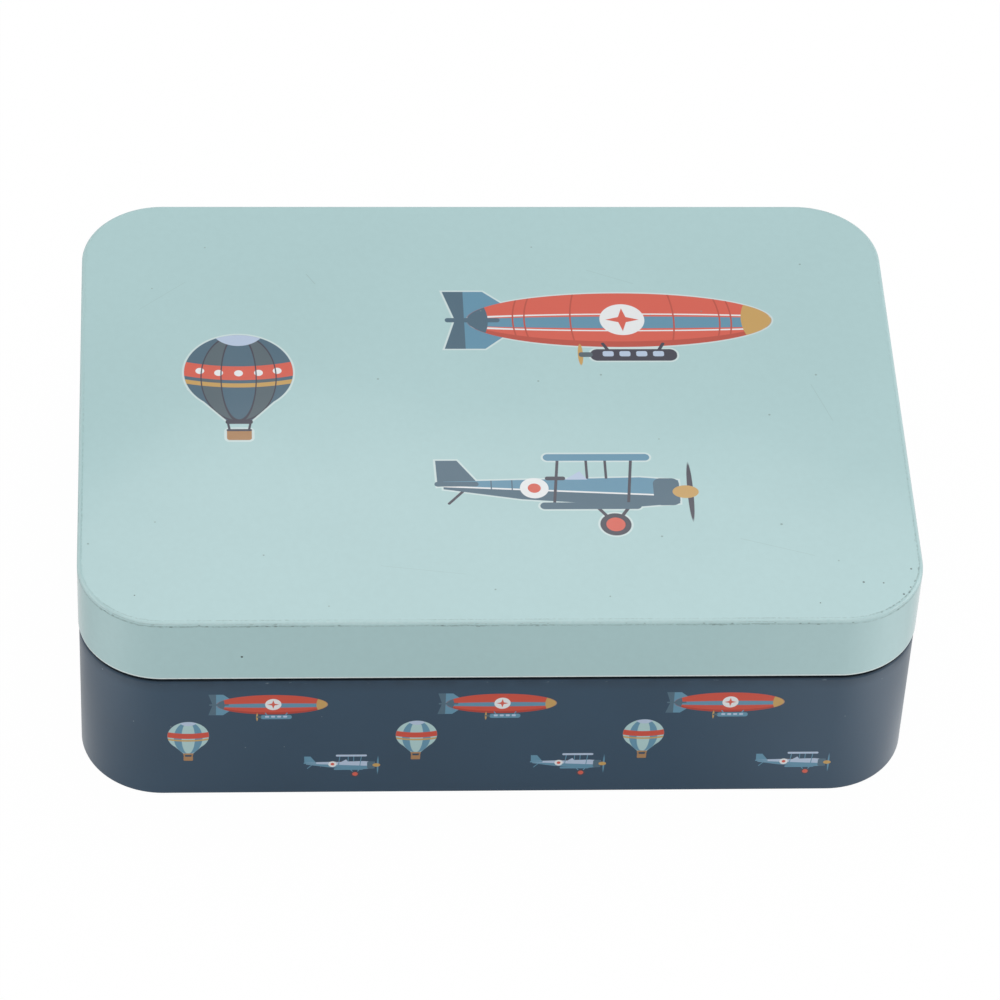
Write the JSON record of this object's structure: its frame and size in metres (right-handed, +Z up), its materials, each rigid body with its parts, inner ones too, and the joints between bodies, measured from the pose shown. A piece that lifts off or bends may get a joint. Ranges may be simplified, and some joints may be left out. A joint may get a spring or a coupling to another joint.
{
  "type": "hinged card game tin",
  "caption": "Rectangular printed tin box with rounded corners, stepped body and a full-skirt lid hinged along the back, for storing playing cards.",
  "frame": {"origin": "centre of the base's rounded-rectangle outline, on the surface that the tin stands on", "axes": "+X to the right along the long side, +Y to the back where the hinges are, +Z up; lid shut"},
  "size_m": [0.14, 0.1051, 0.0416],
  "materials": {
    "lid_paint": "satin pale sea-green print on tinplate, bare inside",
    "base_paint": "satin slate-blue print on tinplate, bare inside",
    "tinplate": "bare tinplate",
    "hinge_steel": "tinned stamped steel",
    "pin_steel": "drawn wire",
    "rivet_steel": "plated"
  },
  "bodies": {
    "base": {"base_wall": "base_paint", "base_bottom": "tinplate", "base_leaf_left": "hinge_steel", "base_leaf_right": "hinge_steel", "base_rivets": "rivet_steel"},
    "lid": {"lid": "lid_paint", "lid_leaf_left": "hinge_steel", "lid_leaf_right": "hinge_steel", "hinge_pin_left": "pin_steel", "hinge_pin_right": "pin_steel", "lid_rivets": "rivet_steel"}
  },
  "joints": [
    {"name": "lid_hinge", "type": "hinge", "parent": "base", "child": "lid", "pos_m": [0, 0.05215, 0.02795], "axis": [-1, 0, 0], "range_deg": [0, 110]}
  ]
}
